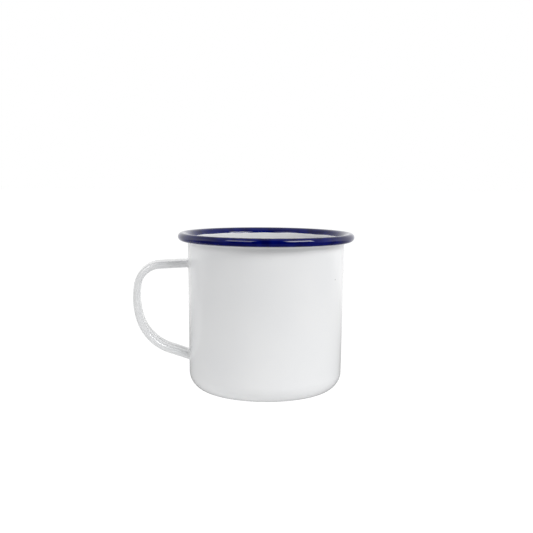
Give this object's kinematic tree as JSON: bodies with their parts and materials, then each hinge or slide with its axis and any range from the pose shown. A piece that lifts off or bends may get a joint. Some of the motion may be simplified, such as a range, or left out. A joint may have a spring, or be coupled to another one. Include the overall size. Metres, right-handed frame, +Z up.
{
  "type": "enamel mug",
  "caption": "White enamelled steel mug with a rolled blue rim and a strap handle welded to its side.",
  "frame": {"origin": "on the cup's axis, in the plane that the mug stands on", "axes": "+Z up along the cup's axis, the handle towards -X in the XZ plane"},
  "size_m": [0.1119, 0.0896, 0.08],
  "materials": {
    "white_enamel": "gloss",
    "blue_enamel": "gloss",
    "steel": "pickled sheet"
  },
  "bodies": {
    "root": {"cup_shell": "steel", "inside_enamel": "white_enamel", "outside_enamel": "white_enamel", "rim_enamel": "blue_enamel", "handle_strap": "steel", "handle_enamel": "white_enamel", "upper_weld": "steel", "lower_weld": "steel"}
  },
  "joints": []
}
